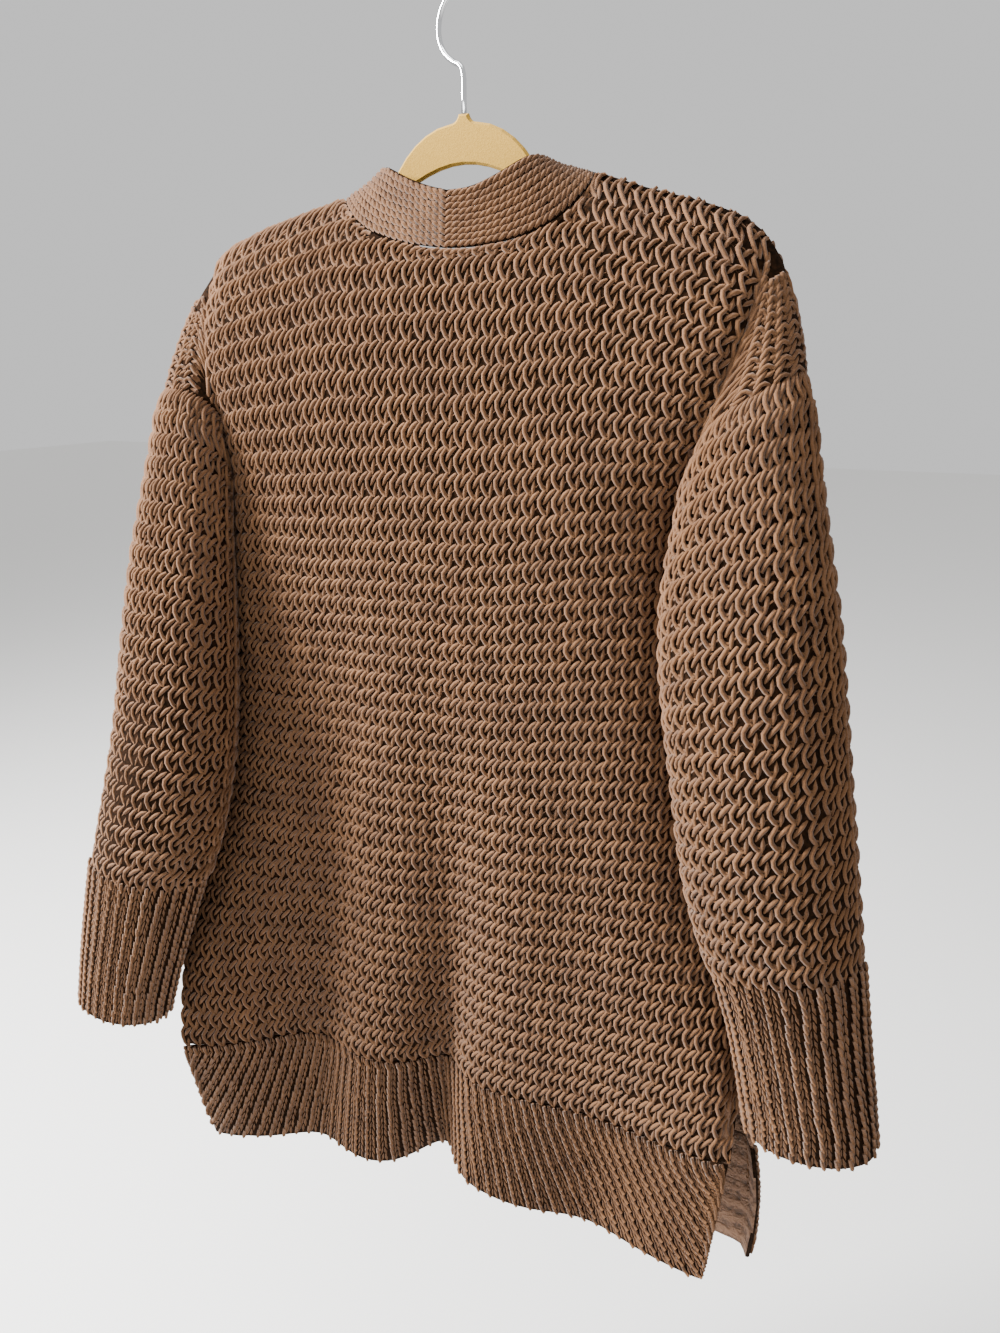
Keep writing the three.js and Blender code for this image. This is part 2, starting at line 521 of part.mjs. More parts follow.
// Heights of the cuff's upper and lower edge at the middle, and how much they tilt.
const CUFF = {
  right: { top: -644, bottom: -787, topTilt: 0.2, bottomTilt: 0.06 },
  left: { top: -657, bottom: -797, topTilt: 0.06, bottomTilt: 0.04 },
};
function cuffEdge(side, angle, edge) {
  const cuff = CUFF[side];
  const inward = -Math.cos(THREE.MathUtils.degToRad(angle)) * arm.width[side](cuff[edge]);
  return cuff[edge] - cuff[`${edge}Tilt`] * inward;
}
Object.entries(SIDES).forEach(([side, sign]) => {
  // The same columns as the dropped shoulder has: round the back, then round the front.
  const shares = Array.from({ length: CAP_COLUMNS }, (_, i) => i / CAP_COLUMNS);
  const back = capAngles(side, 1, UNDERARM).map((angle, i) => ({ angle, share: shares[i] }));
  const front = capAngles(side, -1, UNDERARM).map((angle, i) => ({ angle: -angle, share: shares[i] }));
  const under = { angle: wrapAngle.back[side](UNDERARM), share: 1 };
  const ring = [...back, under, ...front.slice(1).reverse()];
  const seam = ({ share }) => armhole[side](share * 180) - SEAM / 2 - UNDERARM_DROP * ease(0.8, 1, share);
  const cuffTop = ({ angle }) => cuffEdge(side, angle, 'top');
  const cuffBottom = ({ angle }) => cuffEdge(side, angle, 'bottom');
  const tube = (rows, upper, lower) => Array.from({ length: rows + 1 }, (_, row) => (
    ring.map((place) => armPoint(side, place.angle, lerp(upper(place), lower(place), row / rows)))));
  const ends = (rows) => (row) => (row === 0 || row === rows ? 'z' : '');
  const sleeve = tube(SLEEVE_ROWS, seam, (place) => cuffTop(place) + SEAM / 2);
  const normalAt = (row, c) => (row === 0 ? armNormal(side, ring[c].angle, armhole[side](ring[c].share * 180)) : null);
  add(`sleeve_${side}`, sheet(sleeve, {
    outward: sign, wrap: true, loose: ends(SLEEVE_ROWS), normalAt,
  }), GARMENT);
  const cuff = tube(CUFF_ROWS, (place) => cuffTop(place) - SEAM / 2, cuffBottom);
  add(`cuff_${side}`, sheet(cuff, { outward: sign, wrap: true, loose: ends(CUFF_ROWS) }), GARMENT);
});

// ---- the neck and front band, in two halves joined at the centre back ----
const BAND_COLUMNS = 3;
// The free edge of the band round the back neck, by the share of the way to the shoulder.
const BAND_NECK = [
  { share: 0, free: 0, y: 27, right: 38, left: 38 }, { share: 0.25, free: 17, y: 26, right: 38, left: 38 },
  { share: 0.5, free: 34, y: 23, right: 38, left: 37 }, { share: 0.7, free: 47, y: 18, right: 34, left: 33 },
  { share: 0.84, free: 55, y: 12, right: 26.5, left: 26 }, { share: 0.93, free: 59, y: 6, right: 17, left: 19.5 },
  { share: 1, free: 62, y: 0, right: 9, left: 12.5 },
];
const bandNeck = (name) => through(BAND_NECK, 'share', name);
Object.entries(SIDES).forEach(([side, sign]) => {
  const strip = (from, to) => Array.from({ length: BAND_COLUMNS + 1 }, (_, i) => (
    from.clone().lerp(to, i / BAND_COLUMNS)));
  const grid = [];
  for (let i = 0; i <= NECK_COLUMNS; i += 1) {
    const share = i / NECK_COLUMNS;
    const sewn = backGrid[0][centre + sign * i].clone();
    const atCentre = i === 0 ? sign * SEAM / 2 : 0;
    const free = new THREE.Vector3(sign * bandNeck('free')(share) + atCentre, bandNeck('y')(share),
      sewn.z + bandNeck(side)(share));
    const inward = free.clone().sub(sewn).setLength(BAND_GAP);
    sewn.add(inward);
    if (i === 0) sewn.x = atCentre;
    if (i === NECK_COLUMNS) sewn.y = 0;
    grid.push(strip(sewn, free));
  }
  const edges = [...frontGrids[side].slice(1), ...frontRibs[side].slice(1)].map((row) => row[row.length - 1]);
  edges.forEach((edge) => {
    const sewn = edge.clone();
    sewn.x -= sign * BAND_GAP;
    const free = new THREE.Vector3(sign * frontEdge.free[side](edge.z), edge.y - 4,
      edge.z + 12 * ease(-320, -140, edge.z));
    grid.push(strip(sewn, free));
  });
  add(`band_${side}`, sheet(grid, { outward: -sign, loose: (row, c) => (row === 0 || c === 0 ? 'x' : '') }), GARMENT);
});

// ---- hanger: flocked body with a round arch, and a chrome swivel hook ----
const HANGER = {
  thick: 5, tip: 206, tipRadius: 10, armStart: 72, armStartZ: -125.6, slope: THREE.MathUtils.degToRad(17),
  armHeight: 24, tipHeight: 17, archTop: -82.5, holeTop: -110.5, holeHalf: 46,
  nubTop: -79, nubHalf: 3.6,
};
const HOOK = { wire: 3.8, loop: 22.8, stemTop: -44.6, bend: -46, tipAngle: 50, turn: THREE.MathUtils.degToRad(-17) };

function hangerOutline() {
  const h = HANGER;
  const armZ = (x) => h.armStartZ - (x - h.armStart) * Math.tan(h.slope);
  const shape = new THREE.Shape();
  shape.moveTo(-h.nubHalf, h.nubTop);
  shape.lineTo(h.nubHalf, h.nubTop);
  shape.quadraticCurveTo(h.nubHalf + 1.5, h.archTop - 2, h.nubHalf + 6.5, h.archTop - 2.2);
  shape.bezierCurveTo(27, h.archTop - 3.5, 42, h.archTop - 15, 51, -111);
  shape.quadraticCurveTo(60, -123.5, h.armStart, h.armStartZ);
  shape.lineTo(h.tip - h.tipRadius, armZ(h.tip - h.tipRadius));
  shape.quadraticCurveTo(h.tip, armZ(h.tip), h.tip, armZ(h.tip) - h.tipRadius);
  shape.quadraticCurveTo(h.tip - 1, armZ(h.tip) - h.tipHeight, h.tip - h.tipRadius, armZ(h.tip) - h.tipHeight + 2);
  shape.lineTo(h.armStart + 10, armZ(h.armStart + 10) - h.armHeight);
  shape.quadraticCurveTo(h.holeHalf + 8, armZ(h.holeHalf) - h.armHeight + 4, h.holeHalf, -125);
  shape.bezierCurveTo(30, h.holeTop - 6, 16, h.holeTop, 0, h.holeTop);
  const half = shape.getPoints(5);
  const mirrored = half.slice(1, -1).reverse().map((p) => new THREE.Vector2(-p.x, p.y));
  return new THREE.Shape([...half.slice(1), ...mirrored.slice(0, -1), new THREE.Vector2(-h.nubHalf, h.nubTop)]);
}
const bevel = 1.6;
const hangerBody = new THREE.ExtrudeGeometry(hangerOutline(), {
  depth: HANGER.thick - 2 * bevel, bevelEnabled: true, bevelThickness: bevel, bevelSize: bevel,
  bevelOffset: -bevel, bevelSegments: 1, curveSegments: 3,
});
hangerBody.translate(0, 0, -(HANGER.thick / 2 - bevel));
hangerBody.rotateX(Math.PI / 2);
add('hanger_body', hangerBody, VELVET);

// The hook's centre line: up the stem, out, round the loop and over to the blunt end.
function hookPath() {
  const centreZ = -HOOK.loop - HOOK.wire / 2;
  const out = Math.cos(HOOK.turn);
  const aside = Math.sin(HOOK.turn);
  const place = (across, z) => new THREE.Vector3(across * out, across * aside, z);
  const points = [place(0, HANGER.nubTop + SEAM), place(0, -66), place(0, -58), place(0.6, HOOK.bend - 6.5)];
  points.push(place(4.5, HOOK.bend - 2));
  for (let angle = -48; angle <= 180 - HOOK.tipAngle; angle += 14) {
    const a = THREE.MathUtils.degToRad(angle);
    points.push(place(HOOK.loop * Math.cos(a), centreZ + HOOK.loop * Math.sin(a)));
  }
  return new THREE.CatmullRomCurve3(points, false, 'centripetal');
}
const wireSection = new THREE.Shape().absarc(0, 0, HOOK.wire / 2, 0, 2 * Math.PI);
add('hanger_hook', new THREE.ExtrudeGeometry(wireSection, {
  steps: 34, curveSegments: 8, extrudePath: hookPath(), bevelEnabled: false,
}), CHROME);

// Every mesh keeps positions only, with shared corners, so that each one is a closed body.
cardigan.children.forEach((mesh) => {
  mesh.geometry.deleteAttribute('normal');
  mesh.geometry.deleteAttribute('uv');
  mesh.geometry = mergeVertices(mesh.geometry, 1e-4);
});

export default cardigan;
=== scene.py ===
import math

import bmesh
import bpy
import numpy as np
from mathutils import Matrix, Vector
from mathutils.bvhtree import BVHTree


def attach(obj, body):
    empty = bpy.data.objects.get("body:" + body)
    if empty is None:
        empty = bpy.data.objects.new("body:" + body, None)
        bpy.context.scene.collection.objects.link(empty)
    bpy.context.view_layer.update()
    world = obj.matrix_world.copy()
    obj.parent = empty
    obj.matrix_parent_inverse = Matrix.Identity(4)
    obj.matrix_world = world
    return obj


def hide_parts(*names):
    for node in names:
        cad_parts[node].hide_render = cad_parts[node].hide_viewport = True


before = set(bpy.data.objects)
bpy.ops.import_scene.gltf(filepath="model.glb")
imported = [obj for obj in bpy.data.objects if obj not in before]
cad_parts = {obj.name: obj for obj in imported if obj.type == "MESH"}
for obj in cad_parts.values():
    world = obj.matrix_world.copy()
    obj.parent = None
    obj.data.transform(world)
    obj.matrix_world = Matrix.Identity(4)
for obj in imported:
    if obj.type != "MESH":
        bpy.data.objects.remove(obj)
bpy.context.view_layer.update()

# ---- Camera ----
# Stands behind the garment, a little to the wearer's right, and looks down on it slightly.
camera = bpy.data.objects.new("camera", bpy.data.cameras.new("camera"))
bpy.context.scene.collection.objects.link(camera)
camera_right = Vector((-0.9184, -0.3955, 0.0))
camera_forward = Vector((0.3785, -0.8788, -0.2907))
camera.matrix_world = Matrix.Translation((-0.3252, 0.6929, -0.242)) @ Matrix(
    (camera_right, camera_right.cross(camera_forward), -camera_forward)
).transposed().to_4x4()
camera.data.lens = 27.0
camera.data.clip_start = 0.01
bpy.context.scene.camera = camera


# ---- Room: a pale floor and soft studio light ----
# A wide sheet of matt paper below the hem, lit by a large softbox on the wearer's left.
def linear(colour):
    """sRGB hex to the linear RGBA that a shader takes."""
    parts = [int(colour[i:i + 2], 16) / 255 for i in (1, 3, 5)]
    return [c / 12.92 if c <= 0.04045 else ((c + 0.055) / 1.055) ** 2.4 for c in parts] + [1.0]


def add_node(material, kind, settings=None, inputs=None):
    """One shader node, with its settings, its values and the sockets that feed it."""
    made = material.node_tree.nodes.new(kind)
    for name, value in (settings or {}).items():
        setattr(made, name, value)
    for name, value in (inputs or {}).items():
        if isinstance(value, bpy.types.NodeSocket):
            material.node_tree.links.new(value, made.inputs[name])
        else:
            made.inputs[name].default_value = value
    return made


def new_material(name):
    material = bpy.data.materials.new(name)
    material.use_nodes = True
    material.node_tree.nodes.clear()
    return material


def finish_material(material, inputs):
    shader = add_node(material, "ShaderNodeBsdfPrincipled", inputs=inputs)
    add_node(material, "ShaderNodeOutputMaterial", inputs={"Surface": shader.outputs["BSDF"]})
    return material


paper = finish_material(new_material("matt_paper"), {"Base Color": linear("#F4F3F1"), "Roughness": 0.95})
floor_form = bmesh.new()
bmesh.ops.create_grid(floor_form, x_segments=1, y_segments=1, size=12,
                      matrix=Matrix.Translation((0, 0, -1.45)))
floor = bpy.data.objects.new("floor", bpy.data.meshes.new("floor"))
floor_form.to_mesh(floor.data)
floor.data.materials.append(paper)
bpy.context.scene.collection.objects.link(floor)

world = bpy.data.worlds.new("studio")
bpy.context.scene.world = world
world.use_nodes = True
world.node_tree.nodes["Background"].inputs["Color"].default_value = linear("#FFFFFF")
world.node_tree.nodes["Background"].inputs["Strength"].default_value = 0.78
garment_middle = Vector((0, 0.03, -0.52))
for name, place, size, watts in (("softbox", (1.75, 0.85, 0.7), 0.8, 320), ("top_light", (0.1, 0.6, 1.6), 1.2, 30)):
    lamp = bpy.data.objects.new(name, bpy.data.lights.new(name, "AREA"))
    lamp.data.energy, lamp.data.size = watts, size
    lamp.location = place
    lamp.rotation_euler = (garment_middle - lamp.location).to_track_quat("-Z", "Y").to_euler()
    bpy.context.scene.collection.objects.link(lamp)

# ---- Hanger body ----
# A slim moulded ABS hanger, flocked with short pale yellow nylon fibre: matt, with a soft bloom
# at grazing angles and a faint speckle where the pile leans.
flock = new_material("nylon_flock")
flock_place = add_node(flock, "ShaderNodeTexCoord")
flock_grain = add_node(flock, "ShaderNodeTexNoise", inputs={
    "Vector": flock_place.outputs["Object"], "Scale": 900.0, "Detail": 3.0, "Roughness": 0.7})
flock_colour = add_node(flock, "ShaderNodeMix", {"data_type": "RGBA"}, {
    "Factor": flock_grain.outputs["Fac"]})
flock_colour.inputs[6].default_value = linear("#8E6A22")
flock_colour.inputs[7].default_value = linear("#BE9842")
flock_pile = add_node(flock, "ShaderNodeBump", inputs={
    "Strength": 0.5, "Distance": 0.0004, "Height": flock_grain.outputs["Fac"]})
finish_material(flock, {"Base Color": flock_colour.outputs[2], "Roughness": 0.95, "Specular IOR Level": 0.2,
                        "Sheen Weight": 0.15, "Sheen Roughness": 0.4, "Normal": flock_pile.outputs["Normal"]})
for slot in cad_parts["hanger_body"].material_slots:
    slot.link = "OBJECT"
    slot.material = flock

# ---- Hook ----
# Bent from 3.8 mm steel wire and chromium plated: a bright mirror finish with hardly any wear.
plating = finish_material(new_material("chromium_plate"), {
    "Base Color": linear("#DADBDD"), "Metallic": 1.0, "Roughness": 0.14})


def strands(groups, sides):
    """Vertices and quads of round strands with closed ends.

    Each group holds many strands with equally many stations: places (strands, stations, 3), the
    direction out of the cloth at each, and the radius at each."""
    all_places, all_quads, count = [], [], 0
    turn = 2 * np.pi * np.arange(sides) / sides
    for places, out, radius in groups:
        many, stations = radius.shape
        along = np.gradient(places, axis=1)
        along /= np.linalg.norm(along, axis=2, keepdims=True) + 1e-12
        side = np.cross(along, out)
        side /= np.linalg.norm(side, axis=2, keepdims=True) + 1e-12
        lift = np.cross(side, along)
        ring = (side[:, :, None] * np.cos(turn)[:, None] + lift[:, :, None] * np.sin(turn)[:, None])
        points = places[:, :, None] + ring * radius[:, :, None, None]
        first = count + (np.arange(many) * stations * sides)[:, None, None]
        row = (np.arange(stations - 1) * sides)[:, None]
        s = np.arange(sides)
        a, b = first + row + s, first + row + (s + 1) % sides
        quads = np.stack([a, b, b + sides, a + sides], axis=-1).reshape(-1, 4)
        ends = first[:, 0] + s
        caps = np.concatenate([ends, ends[:, ::-1] + (stations - 1) * sides])
        all_places.append(points.reshape(-1, 3))
        all_quads += [quads.tolist(), caps.tolist()]
        count += many * stations * sides
    return np.concatenate(all_places), [face for part in all_quads for face in part]


def strand_mesh(name, groups, sides, material):
    places, faces = strands(groups, sides)
    mesh = bpy.data.meshes.new(name)
    mesh.from_pydata(places.tolist(), [], faces)
    mesh.materials.append(material)
    mesh.polygons.foreach_set("use_smooth", [True] * len(mesh.polygons))
    made = bpy.data.objects.new(name, mesh)
    bpy.context.scene.collection.objects.link(made)
    return made


hook_loop, hook_wire, hook_turn = 0.0228, 0.0038, math.radians(-17)
hook_line = [(0, -0.0787), (0, -0.066), (0, -0.058), (0.0004, -0.0545), (0.0016, -0.0508),
             (0.0042, -0.0482), (0.0085, -0.0465)]
hook_line += [(hook_loop * math.cos(a), -hook_loop - hook_wire / 2 + hook_loop * math.sin(a))
              for a in np.radians(np.arange(-54, 131, 8))]
hook_places = np.array([[(s * math.cos(hook_turn), s * math.sin(hook_turn), z) for s, z in hook_line]])
hook_out = np.broadcast_to([-math.sin(hook_turn), math.cos(hook_turn), 0], hook_places.shape)
hook = strand_mesh("hook", [(hook_places, hook_out, np.full(hook_places.shape[:2], hook_wire / 2))], 16, plating)
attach(hook, "root")
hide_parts("hanger_hook")

# ---- Back ----
# One wide panel of racked half-cardigan stitch in thick cotton chenille, its rows following the
# shoulders at the top. The dropped shoulder runs on over the arm, with its stitches turned.
yarn = new_material("cotton_chenille_yarn")
yarn_place = add_node(yarn, "ShaderNodeTexCoord")
yarn_fibre = add_node(yarn, "ShaderNodeTexNoise", inputs={
    "Vector": yarn_place.outputs["Object"], "Scale": 1100.0, "Detail": 3.0, "Roughness": 0.75})
yarn_patches = add_node(yarn, "ShaderNodeTexNoise", inputs={
    "Vector": yarn_place.outputs["Object"], "Scale": 55.0, "Detail": 2.0})
yarn_mixed = add_node(yarn, "ShaderNodeMath", {"operation": "MULTIPLY_ADD"}, {0: yarn_patches.outputs["Fac"], 1: 0.5})
yarn.node_tree.links.new(yarn_fibre.outputs["Fac"], yarn_mixed.inputs[2])
yarn_tint = add_node(yarn, "ShaderNodeValToRGB", inputs={"Fac": yarn_mixed.outputs[0]})
yarn_tint.color_ramp.elements[0].position, yarn_tint.color_ramp.elements[0].color = 0.45, linear("#452D1D")
yarn_tint.color_ramp.elements[1].position, yarn_tint.color_ramp.elements[1].color = 1.05, linear("#775335")
yarn_pile = add_node(yarn, "ShaderNodeBump", inputs={
    "Strength": 0.7, "Distance": 0.0005, "Height": yarn_fibre.outputs["Fac"]})
finish_material(yarn, {"Base Color": yarn_tint.outputs["Color"], "Roughness": 0.95, "Specular IOR Level": 0.2,
                       "Sheen Weight": 0.12, "Sheen Roughness": 0.5, "Normal": yarn_pile.outputs["Normal"]})

# Painted shade: a near-black sheet for the yarn that lies behind the raised stitches, standing in for the shade they
# cast.
painted_shade = new_material("cotton_chenille_painted_shade")
painted_shade_place = add_node(painted_shade, "ShaderNodeTexCoord")
painted_shade_fibre = add_node(painted_shade, "ShaderNodeTexNoise", inputs={
    "Vector": painted_shade_place.outputs["Object"], "Scale": 420.0, "Detail": 3.0})
painted_shade_tint = add_node(painted_shade, "ShaderNodeValToRGB", inputs={"Fac": painted_shade_fibre.outputs["Fac"]})
# The ramp runs near black to dark brown, far below the yarn's colour: painted shade.
painted_shade_tint.color_ramp.elements[0].position, painted_shade_tint.color_ramp.elements[0].color = 0.35, linear("#100904")
painted_shade_tint.color_ramp.elements[1].position, painted_shade_tint.color_ramp.elements[1].color = 0.75, linear("#2B1A0E")
finish_material(painted_shade, {"Base Color": painted_shade_tint.outputs["Color"], "Roughness": 1.0,
                         "Specular IOR Level": 0.05})

# The wrong side of the knit: low, close bumps of the same yarn, with painted shade that darkens the colour where the
# bumps and rows are low.
inside = new_material("cotton_chenille_wrong_side")
inside_place = add_node(inside, "ShaderNodeTexCoord")
inside_rows = add_node(inside, "ShaderNodeTexWave", {"bands_direction": "Z"}, {
    "Vector": inside_place.outputs["Object"], "Scale": 20.0, "Distortion": 3.0, "Detail Scale": 14.0})
inside_bumps = add_node(inside, "ShaderNodeTexNoise", inputs={
    "Vector": inside_place.outputs["Object"], "Scale": 190.0, "Detail": 3.0})
inside_height = add_node(inside, "ShaderNodeMath", {"operation": "MULTIPLY_ADD"}, {
    0: inside_bumps.outputs["Fac"], 1: 1.2, 2: inside_rows.outputs["Fac"]})
# Painted shade: the colour follows the relief height, darker in its low places.
inside_shaded_tint = add_node(inside, "ShaderNodeValToRGB", inputs={"Fac": inside_height.outputs[0]})
inside_shaded_tint.color_ramp.elements[0].position, inside_shaded_tint.color_ramp.elements[0].color = 0.3, linear("#34231A")
inside_shaded_tint.color_ramp.elements[1].position, inside_shaded_tint.color_ramp.elements[1].color = 1.2, linear("#765741")
inside_relief = add_node(inside, "ShaderNodeBump", inputs={
    "Strength": 0.9, "Distance": 0.0025, "Height": inside_height.outputs[0]})
finish_material(inside, {"Base Color": inside_shaded_tint.outputs["Color"], "Roughness": 0.95,
                         "Normal": inside_relief.outputs["Normal"]})

CLOTH = 0.0036


def panel(name, node, creases=()):
    """A smooth thin copy of a knitted piece, on the form of its solid, and a tree to find it by.

    A crease is a line in mm, how far it pushes the cloth out, in mm, and its half width."""
    form = bmesh.new()
    form.from_mesh(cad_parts[node].data)
    bmesh.ops.remove_doubles(form, verts=form.verts, dist=1e-5)
    bmesh.ops.join_triangles(form, faces=form.faces, angle_face_threshold=0.9, angle_shape_threshold=3.1)
    for start, end, push, width in creases:
        start, end, push = Vector(start) / 1000, Vector(end) / 1000, Vector(push) / 1000
        for vert in form.verts:
            along = max(0, min(1, (vert.co - start).dot(end - start) / (end - start).length_squared))
            off = (vert.co - start.lerp(end, along)).length * 1000 / width
            if off < 3:
                vert.co += push * math.exp(-off * off) * (0.35 + 0.65 * math.sin(math.pi * along))
    mesh = bpy.data.meshes.new(name)
    rims = form.edges.layers.float.new("crease_edge")
    for edge in form.edges:
        edge[rims] = 0.7 if edge.calc_face_angle(0) > 1.0 else 0.0
    form.to_mesh(mesh)
    form.free()
    rough = bpy.data.objects.new(name, mesh)
    bpy.context.scene.collection.objects.link(rough)
    rounding = rough.modifiers.new("rounding", "SUBSURF")
    rounding.levels = rounding.render_levels = 1
    depsgraph = bpy.context.evaluated_depsgraph_get()
    smooth = bpy.data.meshes.new_from_object(rough.evaluated_get(depsgraph))
    rough.modifiers.clear()
    rough.data = smooth
    bpy.data.meshes.remove(mesh)
    smooth.name = name
    smooth.materials.clear()
    # Slot 0 is the painted shade under the stitches, slot 1 the wrong side of the knit.
    smooth.materials.append(painted_shade)
    smooth.materials.append(inside)
    smooth.polygons.foreach_set("use_smooth", [True] * len(smooth.polygons))
    return rough, BVHTree.FromPolygons([v.co for v in smooth.vertices], [p.vertices for p in smooth.polygons])


def even_line(hits, count=160, reach=None, level=False):
    """Hits (place, outward) along a line, spaced evenly: places, outward directions, length.

    A level line is measured without its rise and fall. With a reach, the spacing is that of a line
    so long, and what isn't covered is left out."""
    places = np.array([h[0] for h in hits])
    outward = np.array([h[1] for h in hits])
    steps = np.diff(places, axis=0) * ([1, 1, 0] if level else [1, 1, 1])
    gone = np.concatenate([[0], np.cumsum(np.linalg.norm(steps, axis=1))])
    at = np.linspace(0, reach or gone[-1], count + 1)
    places = np.stack([np.interp(at, gone, places[:, i]) for i in range(3)], axis=1)
    outward = np.stack([np.interp(at, gone, outward[:, i]) for i in range(3)], axis=1)
    outward /= np.linalg.norm(outward, axis=1)[:, None] + 1e-9
    places[at > gone[-1] + 0.009] = np.nan
    return places, outward, gone[-1]


def ease(a, b, value):
    t = np.clip((value - a) / (b - a), 0, 1)
    return t * t * (3 - 2 * t)


# Middle of the cloth along the shoulders and the back neck, and the middle of each arm.
SHOULDER = {"x": [-220, -209, -195, -166, -133, -97, 97, 147, 173, 194, 209, 221],
            "z": [-182, -166, -155, -144, -135, -123, -128.5, -140.5, -148, -155, -162.5, -179]}
NECK = {"x": [-97, -95, -90, -80, -65, -45, -20, 0, 20, 45, 62, 75, 88, 97],
        "z": [-123, -132, -141, -151.5, -159, -165, -168, -168, -165.5, -160, -154, -146.5, -135.5, -128.5]}
ARM = {-1: {"z": [200, 245, 310, 400, 500, 600, 670, 760, 830],
            "x": [212.5, 214.5, 215.5, 221.5, 236.5, 253.5, 272, 291.5, 303],
            "y": [3, 8, 20, 40, 47, 48, 48, 48, 49]},
       1: {"z": [210, 265, 355, 450, 550, 640, 710, 760, 840],
           "x": [222, 232, 236, 236.5, 240.5, 257, 275, 287, 302],
           "y": [7, 19, 39, 60, 77, 93, 104, 110, 117]}}
# How far out the body's knit runs before it folds round the arm, by height, on each face.
FOLD_Z = [178, 190, 206, 226, 250, 282, 312]
FOLD = {(-1, 1): [214, 212, 209, 203, 197, 189, 181], (1, 1): [217, 216, 215, 213, 212, 209, 206],
        (-1, -1): [215, 212, 208, 202, 195, 187, 179], (1, -1): [217, 218, 217, 215, 214, 215, 214]}
RIB_TOP, ARM_LEVEL, ROWS = -830, -178, 44


def mm(table, x, of="z", on="x"):
    return float(np.interp(x, table[on], table[of]))


def row_height(x, share):
    top = mm(SHOULDER, max(-212, min(212, x)))
    level = ARM_LEVEL + 26 * ease(0, 160, -x) - 8 * ease(0, 160, x)
    share -= 0.1 * share * (1 - share)
    return (top + (level - top) * ease(0, 0.35, share)) * (1 - share) + RIB_TOP * share


def walk_on(tree, hits, way):
    """Carries a line of hits on round the side of a piece, to its edge."""
    for _ in range(14):
        place, outward = hits[-1]
        onward = Vector((outward.y, -outward.x, 0)).normalized()
        onward = onward if onward.x * way > 0 or onward.y * hits[0][1].y < -0.8 else -onward
        near = tree.find_nearest(place + onward * 0.003)
        if (near[0] - place).length < 0.0017 or near[1].dot(outward) < 0.5:
            break
        hits.append((near[0], near[1]))


def half_rows(tree, face, side, start):
    """Hits along each edge between rows of stitches, from near the middle out to one side."""
    rows = []
    for k in range(ROWS + 1):
        share = k / ROWS
        hits = []
        for x in np.arange(start, 262, 1.5) * side:
            row = min(row_height(x, share), mm(NECK, x) - 0.5 if face > 0 and abs(x) < 97 else 0)
            z = min(max(row, RIB_TOP + 3), row_height(x, 0) - 0.6)
            if z > -312 and abs(x) > np.interp(-z, FOLD_Z, FOLD[side, face]):
                continue
            hit = tree.ray_cast(Vector((x, face * 400, z)) / 1000, Vector((0, -face, 0)))
            if hit[0] is not None and hit[1].y * face > 0.05:
                tilt = Vector((0, 0, 0.8 if k == 0 else 0))
                hits.append((hit[0] + Vector((0, 0, (row - z + (1.2 if k == 0 else 0)) / 1000)),
                             (hit[1] + tilt).normalized()))
        if hits[-1][0].z < -0.312:
            walk_on(tree, hits, side)
        rows.append(hits)
    return rows


def body_lines(tree, face, sides, start):
    """The edges between the rows on a panel, left to right as seen from its outer face, and the
    number of columns of stitches that fit."""
    halves = {side: half_rows(tree, face, side, start) for side in sides}
    longest = max(even_line(hits, level=True)[2] for rows in halves.values() for hits in rows)
    columns = math.ceil(longest * 1000 / WALE)
    reach = columns * WALE / 1000
    for side, rows in halves.items():
        halves[side] = [even_line(hits, 4 * columns, reach, True)[:2] + (reach,) for hits in rows]
    if len(sides) == 2:
        lines = [(np.concatenate([a[0][:0:-1], b[0]]), np.concatenate([a[1][:0:-1], b[1]]), 2 * reach)
                 for a, b in zip(halves[1], halves[-1])]
        return lines, 2 * columns
    lines = halves[sides[0]]
    if sides[0] * face > 0:
        lines = [(p[::-1], n[::-1], length) for p, n, length in lines]
    return lines, columns


def arm_hit(tree, side, angle, z, reach=0.055):
    """The outer face of a tube of cloth, found from the middle of the arm."""
    middle = Vector((side * mm(ARM[side], -z, "x", "z"), mm(ARM[side], -z, "y", "z"), z)) / 1000
    a = math.radians(angle)
    ray = Vector((side * math.cos(a), math.sin(a), 0))
    place, facing = tree.ray_cast(middle, ray, reach)[:2]
    if place is None:
        return None
    return (place, facing) if facing.dot(ray) > 0 else (place - facing * CLOTH, -facing)


ARMHOLE = {"angle": [0, 50, 90, 115, 150, 180], -1: [-250, -254, -265, -272, -286, -312],
           1: [-266, -265, -266, -273, -287, -312]}
WRAP_Z = [190, 206, 226, 250, 282, 312]
WRAP = {(-1, 1): [105, 120, 133, 146, 163, 180], (-1, -1): [105, 120, 133, 146, 163, 180],
        (1, 1): [105, 120, 135, 152, 184, 222], (1, -1): [105, 116, 126, 134, 136, 138]}


def shoulder_lines(tree, side, face, rows=5):
    """The edges between the turned rows on the dropped shoulder, from its outer edge inwards."""
    lines = []
    for k in range(rows + 1):
        share = 0.02 + 0.96 * k / rows
        hits = []
        for z in np.arange(-167, -314, -3.0):
            angle = share * np.interp(-z, WRAP_Z, WRAP[side, face])
            foot = mm(ARMHOLE, angle, side, "angle")
            found = arm_hit(tree, side, face * angle, max(z, foot + 3))
            if found:
                hits.append((found[0] + Vector((0, 0, min(0, z - foot - 3) / 1000)), found[1]))
            if z < foot - 3:
                break
        if len(hits) > 3:
            lines.append(even_line(hits))
    return lines if side * face > 0 else lines[::-1]


